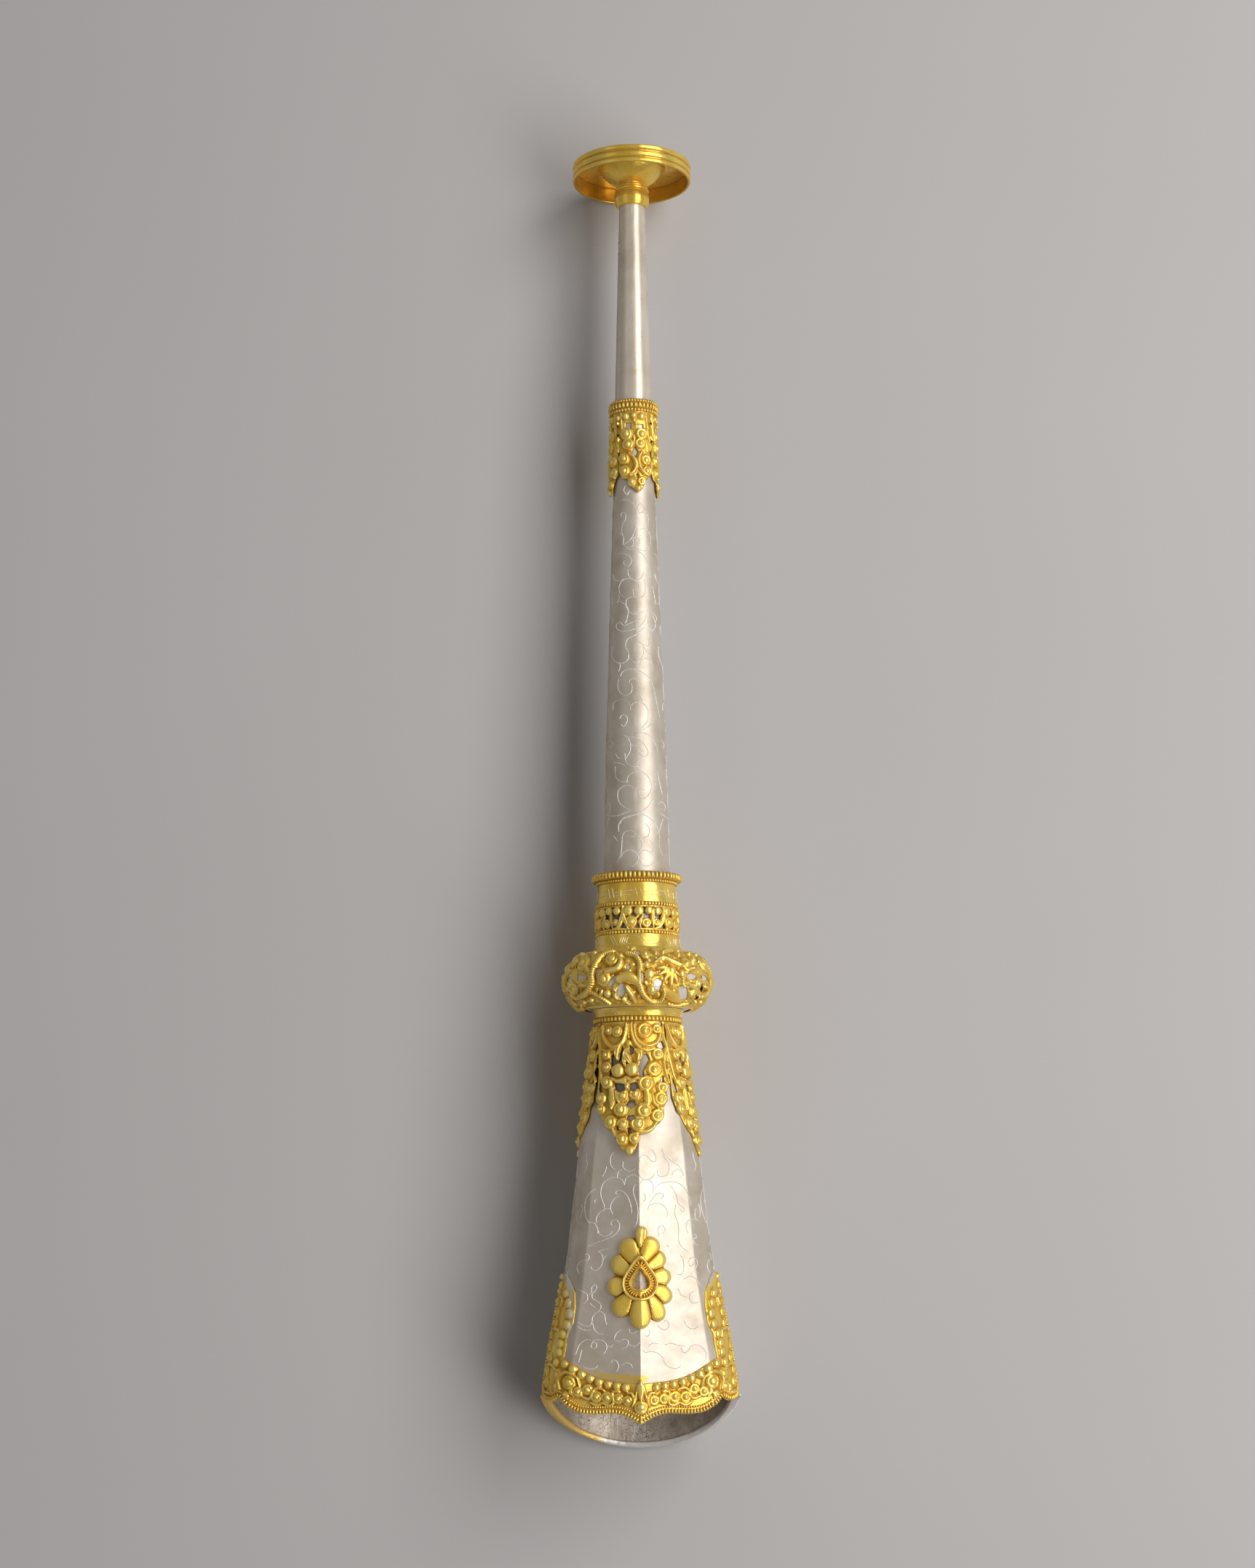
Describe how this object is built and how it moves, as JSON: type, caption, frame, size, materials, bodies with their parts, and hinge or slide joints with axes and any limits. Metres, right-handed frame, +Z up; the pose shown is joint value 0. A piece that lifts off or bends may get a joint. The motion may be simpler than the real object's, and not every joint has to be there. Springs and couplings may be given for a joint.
{
  "type": "thighbone trumpet",
  "caption": "Ceremonial thighbone-shaped trumpet: tapered silver tube with gilt pierced collars, a bulging knob, a ridged flared bell and a dished mouthpiece.",
  "frame": {"origin": "on the surface that the horn lies on, under the middle of its bounding box", "axes": "+Y towards the mouthpiece along the horn, +Z up, which is also the ridged front of the bell, +X to the horn's side"},
  "size_m": [0.063, 0.4228, 0.0525],
  "materials": {
    "chased_gilt": "chased and pierced gilt metal, satin with bright raised edges",
    "polished_gilt": "polished gilt metal, lightly hammered, worn to silver on edges",
    "plain_silver": "satin silver",
    "engraved_silver": "satin silver with engraved scrolls",
    "inner_silver": "dull silver, unpolished"
  },
  "bodies": {
    "root": {"mouthpiece_cup": "polished_gilt", "mouthpiece_rim_band": "polished_gilt", "mouthpiece_ring_moulding": "polished_gilt", "mouthpiece_ferrule": "polished_gilt", "upper_collar_bead_wire_top": "chased_gilt", "upper_collar_ring": "chased_gilt", "upper_collar_bead_wire_bottom": "chased_gilt", "upper_collar_openwork": "chased_gilt", "knob_top_ring": "chased_gilt", "knob_top_bead_wire": "chased_gilt", "fret_band": "polished_gilt", "band_bead_wire_upper": "chased_gilt", "pierced_band": "chased_gilt", "band_bead_wire_lower": "chased_gilt", "upper_neck": "polished_gilt", "knob_openwork": "chased_gilt", "lower_neck": "polished_gilt", "lower_bead_ring": "chased_gilt", "lambrequin_collar": "chased_gilt", "medallion_petals": "chased_gilt", "medallion_bead_row": "chased_gilt", "medallion_bezel": "chased_gilt", "mouth_border": "chased_gilt", "mouth_border_inner_beads": "chased_gilt", "mouth_border_outer_beads": "chased_gilt", "mouthpipe": "plain_silver", "main_tube": "engraved_silver", "knob_sleeve": "inner_silver", "knob_core": "inner_silver", "bell": "engraved_silver", "mouth_rim": "plain_silver", "mouth_rim_bead_wire": "plain_silver"}
  },
  "joints": []
}
